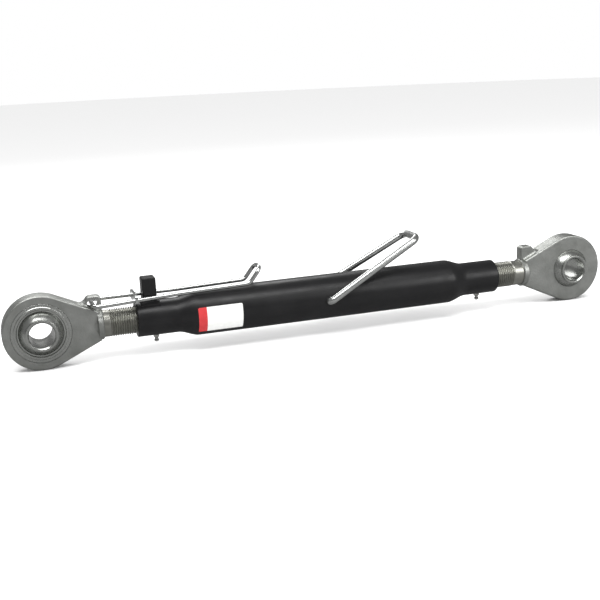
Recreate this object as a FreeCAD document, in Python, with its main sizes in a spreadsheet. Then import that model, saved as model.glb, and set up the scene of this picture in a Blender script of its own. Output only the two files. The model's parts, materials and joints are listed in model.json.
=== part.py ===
"""Tractor top link with ball ends, a swaged barrel, a turning handle and a wire lock bail.

The link lies along X. The origin is the centre of the left ball, Z is up and the pin holes run
along Y. All lengths are in millimetres. Each body is named after the piece that it makes.
"""

import FreeCAD, Part
import math
import os

import Sketcher

Vec = FreeCAD.Vector
NEAR = 0.02  # two lengths closer than this are taken as equal when edges are picked
doc = FreeCAD.newDocument("tractor_top_link")

# ---- Driving dimensions ---------------------------------------------------------------------
DIMENSIONS = {
    "link_length": 755.0,  # centre of the left ball to centre of the right ball
    "tube_diameter": 60.3,
    "tube_wall": 7.5,
    "tube_start": 120.3,  # left mouth of the barrel
    "tube_end": 634.5,  # right mouth of the barrel
    "neck_radius": 23.0,
    "left_neck_length": 52.5,
    "right_neck_length": 48.0,
    "flare_length": 28.0,  # swaged step from neck to barrel
    "mouth_bevel": 1.6,  # right mouth; the left mouth only has its edge broken
    "mouth_edge": 0.8,
    "tool_overrun": 1.0,  # how far a cutting shape passes the surface that it cuts
    "thread_radius": 18.0,  # M36
    "thread_bore_radius": 18.06,
    "thread_bore_depth": 62.0,
    "stud_reach": 170.0,  # length of stud inside the barrel as drawn
    "stud_shank_end": 88.0,  # end of the plain shank, from the ball's centre
    "stud_shank_relief": 0.6,  # the plain shank is this much smaller than the thread
    "stud_tip_bevel": 2.5,
    "eye_radius": 48.0,
    "eye_thickness": 26.0,
    "eye_edge_round": 2.5,
    "waist_half_height": 19.0,
    "waist_end": 74.0,
    "collar_radius": 20.0,
    "collar_end": 78.0,
    "collar_root": 64.0,
    "collar_bevel": 1.2,
    "seat_radius": 30.3,
    "ring_radius": 38.0,
    "ring_thickness": 8.0,
    "ring_lip_height": 0.6,
    "ring_lip_inner": 30.6,
    "ring_lip_outer": 33.6,
    "ring_lip_slope": 0.5,  # run of the lip's sloping sides
    "ring_edge": 0.6,
    "ring_dish": 1.2,
    "ear_thickness": 14.0,
    "ear_top": 38.7,
    "ear_end": 77.5,
    "ear_nose_x": 64.3,
    "ear_nose_radius": 6.5,
    "ear_corner_radius": 5.0,
    "ear_side_round": 2.0,
    "ear_root_round": 3.0,
    "ear_valley_x": 50.2,
    "ear_valley_z": 40.6,
    "ear_foot_x": 46.1,
    "ear_hole_x": 66.5,
    "ear_hole_z": 28.4,
    "ear_hole_radius": 6.8,
    "ball_radius": 30.0,
    "ball_collar_radius": 20.5,
    "ball_collar_edge": 0.8,
    "ball_width": 51.0,
    "pin_radius": 16.0,
    "pin_bevel": 1.6,
    "handle_x": 375.0,
    "handle_rod_radius": 5.0,
    "handle_half_width": 36.2,
    "handle_grip_half_width": 22.5,
    "handle_length": 152.0,
    "handle_elbow_radius": 6.5,
    "handle_grip_radius": 12.0,
    "handle_stub": 14.0,
    "handle_tilt": 28.0,
    "handle_hole_radius": 5.5,
    "block_start": 130.2,
    "block_length": 18.4,
    "block_width": 20.0,
    "block_top": 54.8,
    "block_root": 10.0,  # height inside the neck at which the blank of the block starts
    "block_round": 2.2,
    "weld_size": 3.4,
    "weld_bevel": 2.04,
    "weld_root": 12.0,  # lower and upper height of the blank of the weld
    "weld_blank_top": 32.0,
    "saddle_reach": 20.0,  # how far the saddle's cutting bar passes the block at each end
    "nipple_left_x": 145.0,
    "nipple_right_x": 609.0,
    "nipple_thread_radius": 3.0,
    "nipple_root_gap": 0.6,  # from the stud's thread to the nipple's inner end
    "nipple_hex_flats": 7.0,
    "nipple_hex_height": 3.2,
    "nipple_shoulder": 1.2,  # height of the cone from the hexagon to the throat
    "nipple_throat_radius": 2.3,
    "nipple_head_radius": 3.2,
    "nipple_head_rise": 1.0,
    "nipple_head_length": 1.4,
    "nipple_nose_length": 1.2,
    "nipple_nose_radius": 1.3,
    "nipple_check_ball": 0.25,  # rise of the check ball in the nose
    "nipple_end": 32.4,
    "bail_wire_radius": 2.75,
    "bail_pivot_z": 27.8,
    "bail_root_half_width": 24.5,
    "bail_waist_x": 175.0,
    "bail_half_width": 14.0,
    "bail_knee_x": 271.0,
    "bail_knee_z": 33.2,
    "bail_tip_x": 286.8,
    "bail_tip_z": 53.0,
    "bail_root_bend": 6.0,
    "bail_leg_bend": 60.0,
    "bail_knee_bend": 9.0,
    "bail_tip_bend": 9.0,
    "bail_end_gap": 1.5,
    "spacer_x": 118.8,
    "spacer_thickness": 3.4,
    "spacer_half_width": 24.0,
    "spacer_bottom": 24.6,
    "spacer_top": 36.0,
    "spacer_hole_radius": 3.0,
    "spacer_corner_radius": 3.2,
    "label_start": 197.0,
    "label_length": 59.0,
    "label_upper_angle": 23.0,
    "label_lower_angle": 45.0,
    "label_gap": 0.02,
    "label_thickness": 0.2,
}

sheet = doc.addObject("Spreadsheet::Sheet", "dims")
for row, (alias, number) in enumerate(DIMENSIONS.items(), start=1):
    sheet.set(f"A{row}", alias)
    sheet.set(f"B{row}", str(number))
    sheet.setAlias(f"B{row}", alias)
doc.recompute()


def value(expression):
    """The number that an expression over the sheet gives."""
    result = sheet.evalExpression(str(expression))
    return float(getattr(result, "Value", result))


# ---- Helpers: sketches and features bound to the sheet --------------------------------------
def new_body(name):
    """An empty body whose Label is the piece's own name."""
    body = doc.addObject("PartDesign::Body", name)
    body.Label = name
    return body


def new_sketch(body, name, plane, offset=None):
    """An empty sketch on one of the body's origin planes, lifted off it by an expression."""
    sketch = body.newObject("Sketcher::SketchObject", name)
    support = [f for f in body.Origin.OriginFeatures if f.Role == plane][0]
    sketch.AttachmentSupport = [(support, "")]
    sketch.MapMode = "FlatFace"
    if offset is not None:
        sketch.setExpression("AttachmentOffset.Base.z", str(offset))
    return sketch


def arc_between(start, end, centre, turn):
    """An arc about centre from start to end; turn is ccw or cw, seen down the sketch's normal."""
    if turn == "cw":
        start, end = end, start
    radius = start.distanceToPoint(centre)
    first = math.atan2(start.y - centre.y, start.x - centre.x)
    last = math.atan2(end.y - centre.y, end.x - centre.x)
    if last <= first:
        last += 2 * math.pi
    return Part.ArcOfCircle(Part.Circle(centre, Vec(0, 0, 1), radius), first, last)


def draw(sketch, corners, closed=True):
    """Draws a run of lines and arcs through corners and binds every corner to the sheet.

    A corner is (x, y) or (x, y, (centre_x, centre_y, turn)), where the last item makes the
    stretch to the next corner an arc. All of them are expressions over the sheet.
    """
    places = [Vec(value(c[0]), value(c[1]), 0) for c in corners]
    count = len(corners) if closed else len(corners) - 1
    ends = []  # (geometry, position of its start, position of its end)
    for i in range(count):
        start, end = places[i], places[(i + 1) % len(places)]
        if len(corners[i]) == 2:
            ends.append((sketch.addGeometry(Part.LineSegment(start, end)), 1, 2))
            continue
        centre_x, centre_y, turn = corners[i][2]
        centre = Vec(value(centre_x), value(centre_y), 0)
        arc = sketch.addGeometry(arc_between(start, end, centre, turn))
        ends.append((arc, 1, 2) if turn == "ccw" else (arc, 2, 1))
        size = sketch.addConstraint(
            Sketcher.Constraint("Radius", arc, start.distanceToPoint(centre))
        )
        sketch.setExpression(
            f"Constraints[{size}]",
            f"hypot({corners[i][0]} - ({centre_x}); {corners[i][1]} - ({centre_y}))",
        )
    joints = range(count) if closed else range(count - 1)
    for i in joints:
        this, after = ends[i], ends[(i + 1) % count]
        sketch.addConstraint(
            Sketcher.Constraint("Coincident", this[0], this[2], after[0], after[1])
        )
    for i, place in enumerate(places):
        geometry, position = (ends[i][0], ends[i][1]) if i < count else (ends[-1][0], ends[-1][2])
        for kind, number, text in (
            ("DistanceX", place.x, corners[i][0]),
            ("DistanceY", place.y, corners[i][1]),
        ):
            rule = sketch.addConstraint(
                Sketcher.Constraint(kind, -1, 1, geometry, position, number)
            )
            sketch.setExpression(f"Constraints[{rule}]", str(text))


def draw_circle(sketch, x, y, radius):
    """A circle whose centre and radius are expressions over the sheet."""
    centre = Vec(value(x), value(y), 0)
    circle = sketch.addGeometry(Part.Circle(centre, Vec(0, 0, 1), value(radius)))
    for rule, text in (
        (Sketcher.Constraint("Radius", circle, value(radius)), radius),
        (Sketcher.Constraint("DistanceX", -1, 1, circle, 3, centre.x), x),
        (Sketcher.Constraint("DistanceY", -1, 1, circle, 3, centre.y), y),
    ):
        sketch.setExpression(f"Constraints[{sketch.addConstraint(rule)}]", str(text))


def turned(body, name, corners, axis="H_Axis", plane="XZ_Plane", cut=False):
    """Revolves a closed outline about a sketch axis, as a solid or as a groove."""
    sketch = new_sketch(body, f"{name}_outline", plane)
    draw(sketch, corners)
    kind = "PartDesign::Groove" if cut else "PartDesign::Revolution"
    feature = body.newObject(kind, name)
    feature.Profile = sketch
    feature.ReferenceAxis = (sketch, [axis])
    feature.Angle = 360
    return feature


def slab(body, name, sketch, thickness, cut=False):
    """Pads or pockets a sketch by the same depth on both sides of its plane."""
    feature = body.newObject("PartDesign::Pocket" if cut else "PartDesign::Pad", name)
    feature.Profile = sketch
    feature.Midplane = True
    feature.setExpression("Length", str(thickness))
    return feature


def rounded(body, name, base, radius, wanted):
    """Fillets the edges of base that wanted(edge) picks."""
    doc.recompute()
    edges = [f"Edge{i}" for i, e in enumerate(base.Shape.Edges, start=1) if wanted(e)]
    feature = body.newObject("PartDesign::Fillet", name)
    feature.Base = (base, edges)
    feature.setExpression("Radius", str(radius))
    return feature


# ---- Barrel ---------------------------------------------------------------------------------
TUBE_RADIUS = "dims.tube_diameter / 2"
CAVITY_RADIUS = "(dims.tube_diameter / 2 - dims.tube_wall)"
FLARE_RISE = "(dims.tube_diameter / 2 - dims.neck_radius)"
FLARE_ARC = f"((dims.flare_length ^ 2 + {FLARE_RISE} ^ 2) / (4 * {FLARE_RISE}))"
LEFT_NECK_END = "(dims.tube_start + dims.left_neck_length)"
LEFT_FLARE_END = f"({LEFT_NECK_END} + dims.flare_length)"
RIGHT_NECK_END = "(dims.tube_end - dims.right_neck_length)"
RIGHT_FLARE_END = f"({RIGHT_NECK_END} - dims.flare_length)"
FLARE_MIDDLE_RADIUS = "((dims.neck_radius + dims.tube_diameter / 2) / 2)"


def make_tube():
    """One swaged tube: two necks with the thread bores, and smooth steps up to the barrel."""
    body = new_body("tube")
    left_middle = f"({LEFT_NECK_END} + dims.flare_length / 2)"
    right_middle = f"({RIGHT_NECK_END} - dims.flare_length / 2)"
    bore_left = "(dims.tube_start + dims.thread_bore_depth)"
    bore_right = "(dims.tube_end - dims.thread_bore_depth)"
    step = f"({CAVITY_RADIUS} - dims.thread_bore_radius)"
    turned(
        body,
        "swaged_wall",
        [
            ("dims.tube_start", "dims.thread_bore_radius"),
            ("dims.tube_start", "dims.neck_radius - dims.mouth_edge"),
            ("dims.tube_start + dims.mouth_edge", "dims.neck_radius"),
            (
                LEFT_NECK_END,
                "dims.neck_radius",
                (LEFT_NECK_END, f"dims.neck_radius + {FLARE_ARC}", "ccw"),
            ),
            (
                left_middle,
                FLARE_MIDDLE_RADIUS,
                (LEFT_FLARE_END, f"{TUBE_RADIUS} - {FLARE_ARC}", "cw"),
            ),
            (LEFT_FLARE_END, TUBE_RADIUS),
            (
                RIGHT_FLARE_END,
                TUBE_RADIUS,
                (RIGHT_FLARE_END, f"{TUBE_RADIUS} - {FLARE_ARC}", "cw"),
            ),
            (
                right_middle,
                FLARE_MIDDLE_RADIUS,
                (RIGHT_NECK_END, f"dims.neck_radius + {FLARE_ARC}", "ccw"),
            ),
            (RIGHT_NECK_END, "dims.neck_radius"),
            ("dims.tube_end - dims.mouth_bevel", "dims.neck_radius"),
            ("dims.tube_end", "dims.neck_radius - dims.mouth_bevel"),
            ("dims.tube_end", "dims.thread_bore_radius"),
            (bore_right, "dims.thread_bore_radius"),
            (f"{bore_right} - 2 * {step}", CAVITY_RADIUS),
            (f"{bore_left} + 2 * {step}", CAVITY_RADIUS),
            (bore_left, "dims.thread_bore_radius"),
        ],
    )
    handle_holes = new_sketch(body, "handle_hole_outline", "XZ_Plane")
    draw_circle(handle_holes, "dims.handle_x", "0", "dims.handle_hole_radius")
    across = "dims.tube_diameter + 2 * dims.tool_overrun"
    slab(body, "handle_holes", handle_holes, across, cut=True)
    nipple_holes = new_sketch(body, "nipple_hole_outline", "XY_Plane")
    for place in ("dims.nipple_left_x", "dims.nipple_right_x"):
        draw_circle(nipple_holes, place, "0", "dims.nipple_thread_radius")
    holes = body.newObject("PartDesign::Pocket", "nipple_holes")
    holes.Profile = nipple_holes
    holes.Reversed = False
    holes.setExpression("Length", "dims.neck_radius + dims.tool_overrun")
    return body


# ---- Eye ends -------------------------------------------------------------------------------
FLANK_TURN = (
    "(atan2(dims.waist_half_height; dims.waist_end)"
    " + acos(dims.eye_radius / hypot(dims.waist_end; dims.waist_half_height)))"
)
FLANK_X = f"(dims.eye_radius * cos({FLANK_TURN}))"
FLANK_Z = f"(dims.eye_radius * sin({FLANK_TURN}))"
FLANK_SLOPE = f"((dims.waist_half_height - {FLANK_Z}) / (dims.waist_end - {FLANK_X}))"
HALF_EYE = "(dims.eye_thickness / 2)"
SEAT_LIP = f"sqrt(dims.seat_radius ^ 2 - {HALF_EYE} ^ 2)"


def make_eye(name, drilled):
    """A forged eye with its neck towards +X: ring side -Y, plain lip side +Y, ear on top."""
    body = new_body(name)
    outline = new_sketch(body, f"{name}_teardrop", "XZ_Plane")
    draw(
        outline,
        [
            (FLANK_X, FLANK_Z, ("0", "0", "ccw")),
            (FLANK_X, f"-{FLANK_Z}"),
            ("dims.waist_end", "-dims.waist_half_height"),
            ("dims.waist_end", "dims.waist_half_height"),
        ],
    )
    plate = slab(body, f"{name}_plate", outline, "dims.eye_thickness")
    half = value(HALF_EYE)

    def on_a_face(edge):
        return edge.BoundBox.YLength < NEAR and abs(abs(edge.BoundBox.YMax) - half) < NEAR

    rounded(body, f"{name}_plate_round", plate, "dims.eye_edge_round", on_a_face)
    nose = "dims.ear_nose_radius"
    nose_z = f"(dims.ear_top - {nose})"
    reach = f"hypot(dims.ear_nose_x - dims.ear_valley_x; dims.ear_valley_z - {nose_z})"
    touch_x = f"(dims.ear_nose_x - {nose} * (dims.ear_nose_x - dims.ear_valley_x) / {reach})"
    touch_z = f"({nose_z} + {nose} * (dims.ear_valley_z - {nose_z}) / {reach})"
    foot_drop = (
        f"(sqrt(({reach} - {nose}) ^ 2 - (dims.ear_valley_x - dims.ear_foot_x) ^ 2))"
    )
    corner_x = "(dims.ear_end - dims.ear_corner_radius)"
    corner_z = "(dims.ear_top - dims.ear_corner_radius)"
    ear = new_sketch(body, f"{name}_ear_outline", "XZ_Plane")
    draw(
        ear,
        [
            (
                "dims.ear_foot_x",
                f"dims.ear_valley_z - {foot_drop}",
                ("dims.ear_valley_x", "dims.ear_valley_z", "ccw"),
            ),
            (touch_x, touch_z, ("dims.ear_nose_x", nose_z, "cw")),
            ("dims.ear_nose_x", "dims.ear_top"),
            (corner_x, "dims.ear_top", (corner_x, corner_z, "cw")),
            ("dims.ear_end", corner_z),
            ("dims.ear_end", "0"),
            ("dims.ear_foot_x", "0"),
        ],
    )
    ear_block = slab(body, f"{name}_ear", ear, "dims.ear_thickness")
    flat = value("dims.ear_thickness / 2")

    def on_ear_side(edge):
        box = edge.BoundBox
        return box.YLength < NEAR and abs(abs(box.YMax) - flat) < NEAR

    def is_ear_root(edge):
        """Where an ear side meets the plate's sloping flank: long, straight and well above X."""
        box = edge.BoundBox
        straight = isinstance(edge.Curve, Part.Line) and box.XLength > value("dims.ear_thickness")
        return on_ear_side(edge) and straight and box.ZMin > value(HALF_EYE)

    def is_ear_outline(edge):
        above_plate = edge.BoundBox.ZMax > value("dims.seat_radius")
        return on_ear_side(edge) and above_plate and not is_ear_root(edge)

    sides = rounded(body, f"{name}_ear_sides", ear_block, "dims.ear_side_round", is_ear_outline)
    rounded(body, f"{name}_ear_root", sides, "dims.ear_root_round", is_ear_root)
    root = "dims.collar_root"
    turned(
        body,
        f"{name}_collar",
        [
            (
                root,
                HALF_EYE,
                (root, "dims.collar_radius", "ccw"),
            ),
            (f"{root} + dims.collar_radius - {HALF_EYE}", "dims.collar_radius"),
            ("dims.collar_end - dims.collar_bevel", "dims.collar_radius"),
            ("dims.collar_end", "dims.collar_radius - dims.collar_bevel"),
            ("dims.collar_end", "0"),
            (root, "0"),
        ],
    )
    turned(
        body,
        f"{name}_seat",
        [
            ("0", f"-{HALF_EYE} - dims.tool_overrun"),
            ("dims.ring_radius", f"-{HALF_EYE} - dims.tool_overrun"),
            ("dims.ring_radius", f"-{HALF_EYE} + dims.ring_thickness"),
            ("dims.seat_radius", f"-{HALF_EYE} + dims.ring_thickness"),
            ("dims.seat_radius", "0", ("0", "0", "ccw")),
            (SEAT_LIP, HALF_EYE),
            (SEAT_LIP, f"{HALF_EYE} + dims.tool_overrun"),
            ("0", f"{HALF_EYE} + dims.tool_overrun"),
        ],
        axis="V_Axis",
        plane="XY_Plane",
        cut=True,
    )
    if drilled:
        hole = new_sketch(body, f"{name}_ear_hole_outline", "XZ_Plane")
        draw_circle(hole, "dims.ear_hole_x", "dims.ear_hole_z", "dims.ear_hole_radius")
        through = "dims.ear_thickness + 2 * dims.tool_overrun"
        slab(body, f"{name}_ear_hole", hole, through, cut=True)
    return body


def make_stud(name):
    """The M36 stud: a plain shank, then the thread at its outer diameter."""
    body = new_body(name)
    tip = "(dims.tube_start + dims.stud_reach)"
    turned(
        body,
        f"{name}_bar",
        [
            ("dims.collar_end", "0"),
            ("dims.collar_end", "dims.thread_radius - dims.stud_shank_relief"),
            ("dims.stud_shank_end", "dims.thread_radius - dims.stud_shank_relief"),
            ("dims.stud_shank_end + dims.stud_shank_relief", "dims.thread_radius"),
            (f"{tip} - dims.stud_tip_bevel", "dims.thread_radius"),
            (tip, "dims.thread_radius - dims.stud_tip_bevel"),
            (tip, "0"),
        ],
    )
    return body


def make_retainer(name):
    """The ring that keeps the ball in: round outside, spherical inside, with a raised lip."""
    body = new_body(name)
    face = f"(-{HALF_EYE})"
    back = f"({face} + dims.ring_thickness)"
    lip_face = f"({face} - dims.ring_lip_height)"
    dish = f"({face} + dims.ring_dish)"
    turned(
        body,
        f"{name}_ring",
        [
            ("dims.ring_radius", back),
            (
                f"sqrt(dims.seat_radius ^ 2 - {back} ^ 2)",
                back,
                ("0", "0", "cw"),
            ),
            (f"sqrt(dims.seat_radius ^ 2 - {dish} ^ 2)", dish),
            ("dims.ring_lip_inner - dims.ring_lip_slope", dish),
            ("dims.ring_lip_inner", lip_face),
            ("dims.ring_lip_outer", lip_face),
            ("dims.ring_lip_outer + dims.ring_lip_slope", face),
            ("dims.ring_radius - dims.ring_edge", face),
            ("dims.ring_radius", f"{face} + dims.ring_edge"),
        ],
        axis="V_Axis",
        plane="XY_Plane",
    )
    return body


def make_ball(name):
    """The swivel ball: a sphere with a collar each side and the pin hole through it."""
    body = new_body(name)
    half = "(dims.ball_width / 2)"
    collar, edge = "dims.ball_collar_radius", "dims.ball_collar_edge"
    shoulder = f"sqrt(dims.ball_radius ^ 2 - {collar} ^ 2)"
    turned(
        body,
        f"{name}_sphere",
        [
            ("dims.pin_radius", f"-{half} + dims.pin_bevel"),
            ("dims.pin_radius + dims.pin_bevel", f"-{half}"),
            (f"{collar} - {edge}", f"-{half}"),
            (collar, f"-{half} + {edge}"),
            (collar, f"-{shoulder}", ("0", "0", "ccw")),
            (collar, shoulder),
            (collar, f"{half} - {edge}"),
            (f"{collar} - {edge}", half),
            ("dims.pin_radius + dims.pin_bevel", half),
            ("dims.pin_radius", f"{half} - dims.pin_bevel"),
        ],
        axis="V_Axis",
        plane="XY_Plane",
    )
    return body


def face_left(piece):
    """Turns an end piece half round Z and carries it to the right ball's centre."""
    piece.Placement = FreeCAD.Placement(
        Vec(value("dims.link_length"), 0, 0), FreeCAD.Rotation(Vec(0, 0, 1), 180)
    )
    piece.setExpression("Placement.Base.x", "dims.link_length")
    return piece


# ---- Turning handle -------------------------------------------------------------------------
def make_handle():
    """One bent rod: two stubs in the barrel's cross holes, two arms and a grip."""
    body = new_body("turning_handle")
    wide = "dims.handle_half_width"
    narrow = "dims.handle_grip_half_width"
    length = "dims.handle_length"
    stub_end = f"({wide} - dims.handle_stub)"
    taper = f"atan(({wide} - {narrow}) / {length})"
    elbow = "dims.handle_elbow_radius"
    elbow_run = f"({elbow} * tan((90 deg - {taper}) / 2))"
    grip = "dims.handle_grip_radius"
    grip_run = f"({grip} * tan((90 deg + {taper}) / 2))"
    path = new_sketch(body, "handle_path", "XY_Plane")
    front = [
        ("0", f"-{stub_end}"),
        (
            "0",
            f"-({wide} - {elbow_run})",
            (elbow, f"-({wide} - {elbow_run})", "ccw"),
        ),
        (f"{elbow_run} * cos({taper})", f"-({wide} - {elbow_run} * sin({taper}))"),
        (
            f"{length} - {grip_run} * cos({taper})",
            f"-({narrow} + {grip_run} * sin({taper}))",
            (f"{length} - {grip}", f"-({narrow} - {grip_run})", "ccw"),
        ),
        (length, f"-({narrow} - {grip_run})"),
    ]
    back = [
        (
            length,
            f"{narrow} - {grip_run}",
            (f"{length} - {grip}", f"{narrow} - {grip_run}", "ccw"),
        ),
        (
            f"{length} - {grip_run} * cos({taper})",
            f"{narrow} + {grip_run} * sin({taper})",
        ),
        (
            f"{elbow_run} * cos({taper})",
            f"{wide} - {elbow_run} * sin({taper})",
            (elbow, f"{wide} - {elbow_run}", "ccw"),
        ),
        ("0", f"{wide} - {elbow_run}"),
        ("0", stub_end),
    ]
    draw(path, front + back, closed=False)
    section = new_sketch(body, "handle_section", "XZ_Plane", offset=stub_end)
    draw_circle(section, "0", "0", "dims.handle_rod_radius")
    pipe = body.newObject("PartDesign::AdditivePipe", "handle_rod")
    pipe.Profile = section
    pipe.Spine = path
    body.Placement = FreeCAD.Placement(
        Vec(value("dims.handle_x"), 0, 0),
        FreeCAD.Rotation(Vec(0, 1, 0), -value("dims.handle_tilt")),
    )
    body.setExpression("Placement.Base.x", "dims.handle_x")
    return body


# ---- Lock block and its weld ----------------------------------------------------------------
def box_object(name, x, y, z, length, width, height):
    """A Part::Box whose corner and edges are expressions over the sheet."""
    box = doc.addObject("Part::Box", name)
    for prop, text in (
        ("Placement.Base.x", x),
        ("Placement.Base.y", y),
        ("Placement.Base.z", z),
        ("Length", length),
        ("Width", width),
        ("Height", height),
    ):
        box.setExpression(prop, str(text))
    return box


def bar_along_x(name, radius, start, length):
    """A Part::Cylinder along X."""
    bar = doc.addObject("Part::Cylinder", name)
    bar.Placement.Rotation = FreeCAD.Rotation(Vec(0, 1, 0), 90)
    bar.setExpression("Placement.Base.x", str(start))
    bar.setExpression("Radius", str(radius))
    bar.setExpression("Height", str(length))
    return bar


def boolean(kind, name, base, tool):
    """A Part::Cut or Part::Common of two objects."""
    result = doc.addObject(kind, name)
    result.Base = base
    result.Tool = tool
    return result


def make_lock_block():
    """The stop that stands on the left neck between the bail's legs, and its weld bead."""
    start, length = "dims.block_start", "dims.block_length"
    width, bead = "dims.block_width", "dims.weld_size"
    root, reach = "dims.block_root", "dims.saddle_reach"
    bar_start, bar_length = f"{start} - {reach}", f"{length} + 2 * {reach}"
    neck = bar_along_x("block_neck", "dims.neck_radius", bar_start, bar_length)
    blank = box_object(
        "block_blank", start, f"-{width} / 2", root, length, width, f"dims.block_top - {root}"
    )
    saddled = boolean("Part::Cut", "block_saddled", blank, neck)
    doc.recompute()
    top = value("dims.block_top")
    block = doc.addObject("Part::Fillet", "lock_block")
    block.Base = saddled
    size = value("dims.block_round")
    block.Edges = [
        (i, size, size)
        for i, edge in enumerate(saddled.Shape.Edges, start=1)
        if edge.BoundBox.ZMax > top - NEAR
    ]
    foot = box_object(
        "weld_foot",
        f"{start} - {bead}",
        f"-{width} / 2 - {bead}",
        "dims.weld_root",
        f"{length} + 2 * {bead}",
        f"{width} + 2 * {bead}",
        "dims.weld_blank_top - dims.weld_root",
    )
    skin = bar_along_x("weld_skin", f"dims.neck_radius + {bead}", bar_start, bar_length)
    collar = boolean("Part::Common", "weld_collar", foot, skin)
    hollow = boolean("Part::Cut", "weld_on_neck", collar, neck)
    bead_ring = boolean("Part::Cut", "weld_ring", hollow, blank)
    doc.recompute()
    crest = value("dims.neck_radius + dims.weld_size")

    def outer(edge):
        """The bead's outer upper edges: on the reach cylinder and on the foot's sides."""
        middle = edge.valueAt((edge.FirstParameter + edge.LastParameter) / 2)
        high = abs(math.hypot(middle.y, middle.z) - crest) < NEAR
        side = abs(abs(middle.y) - value(f"{width} / 2 + {bead}")) < NEAR
        end = min(
            abs(middle.x - value(f"{start} - {bead}")),
            abs(middle.x - value(f"{start} + {length} + {bead}")),
        )
        return high and (side or end < NEAR)

    weld = doc.addObject("Part::Chamfer", "lock_block_weld")
    weld.Base = bead_ring
    cut = value("dims.weld_bevel")
    weld.Edges = [
        (i, cut, cut) for i, edge in enumerate(bead_ring.Shape.Edges, start=1) if outer(edge)
    ]
    return [block, weld]


# ---- Grease nipples -------------------------------------------------------------------------
def make_nipple(name, place):
    """A straight grease nipple that points down out of a neck: hexagon, throat and head."""
    body = new_body(name)
    inner = "-(dims.thread_bore_radius + dims.nipple_root_gap)"
    thread = "dims.nipple_thread_radius"
    throat = "dims.nipple_throat_radius"
    head = "dims.nipple_head_radius"
    hex_end = "-(dims.neck_radius + dims.nipple_hex_height)"
    corner = "(dims.nipple_hex_flats / sqrt(3))"
    nose = "-(dims.nipple_end - dims.nipple_nose_length)"
    head_end = f"({nose} + dims.nipple_head_length)"
    sketch = new_sketch(body, f"{name}_outline", "XZ_Plane")
    draw(
        sketch,
        [
            ("0", inner),
            (thread, inner),
            (thread, hex_end),
            (throat, f"{hex_end} - dims.nipple_shoulder"),
            (throat, f"{head_end} + dims.nipple_head_rise"),
            (head, head_end),
            (head, nose),
            ("dims.nipple_nose_radius", "-dims.nipple_end"),
            ("0", "-dims.nipple_end - dims.nipple_check_ball"),
        ],
    )
    turn = body.newObject("PartDesign::Revolution", f"{name}_turned")
    turn.Profile = sketch
    turn.ReferenceAxis = (sketch, ["V_Axis"])
    turn.Angle = 360
    flats = new_sketch(body, f"{name}_hexagon_outline", "XY_Plane", offset=hex_end)
    half, quarter = "(dims.nipple_hex_flats / 2)", f"({corner} / 2)"
    draw(
        flats,
        [
            (half, f"-{quarter}"),
            (half, quarter),
            ("0", corner),
            (f"-{half}", quarter),
            (f"-{half}", f"-{quarter}"),
            ("0", f"-{corner}"),
        ],
    )
    hexagon = body.newObject("PartDesign::Pad", f"{name}_hexagon")
    hexagon.Profile = flats
    hexagon.setExpression("Length", "dims.nipple_hex_height")
    body.setExpression("Placement.Base.x", place)
    return body


# ---- Bail -----------------------------------------------------------------------------------
def rounded_path(points, bends):
    """Straight runs through points, with a tangent arc of the given radius at each inner one."""
    edges = []
    here = points[0]
    for before, corner, after, radius in zip(points, points[1:], points[2:], bends):
        back = (before - corner).normalize()
        on = (after - corner).normalize()
        turn = math.pi - back.getAngle(on)
        run = radius * math.tan(turn / 2)
        enter, leave = corner + back * run, corner + on * run
        bisector = (back + on).normalize()
        middle = corner + bisector * (radius / math.cos(turn / 2) - radius)
        edges.append(Part.LineSegment(here, enter).toShape())
        edges.append(Part.Arc(enter, middle, leave).toShape())
        here = leave
    edges.append(Part.LineSegment(here, points[-1]).toShape())
    return Part.Wire(edges)


def bail_point(x, side, half_width):
    """A point of a straight leg, at the leg's height over x."""
    rise = (value("dims.bail_knee_z") - value("dims.bail_pivot_z")) / (
        value("dims.bail_knee_x") - value("dims.ear_hole_x")
    )
    height = value("dims.bail_pivot_z") + rise * (x - value("dims.ear_hole_x"))
    return Vec(x, side * half_width, height)


def make_bail():
    """The lock bail: one wire, its two ends sprung into the left ear's hole."""
    root_x = value("dims.ear_hole_x")
    gap = value("dims.bail_end_gap") / 2
    root = value("dims.bail_root_half_width")
    waist_x, half = value("dims.bail_waist_x"), value("dims.bail_half_width")
    knee_x = value("dims.bail_knee_x")
    tip = Vec(value("dims.bail_tip_x"), 0, value("dims.bail_tip_z"))
    across = Vec(0, half, 0)
    points = [
        bail_point(root_x, -1, gap),
        bail_point(root_x, -1, root),
        bail_point(waist_x, -1, half),
        bail_point(knee_x, -1, half),
        tip - across,
        tip + across,
        bail_point(knee_x, 1, half),
        bail_point(waist_x, 1, half),
        bail_point(root_x, 1, root),
        bail_point(root_x, 1, gap),
    ]
    one_side = [value(f"dims.bail_{part}_bend") for part in ("root", "leg", "knee", "tip")]
    path = rounded_path(points, one_side + one_side[::-1])
    disc = Part.Wire(Part.Circle(points[0], Vec(0, 1, 0), value("dims.bail_wire_radius")).toShape())
    bail = doc.addObject("Part::Feature", "lock_bail")
    bail.Shape = path.makePipeShell([disc], True, True)
    return bail


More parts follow.
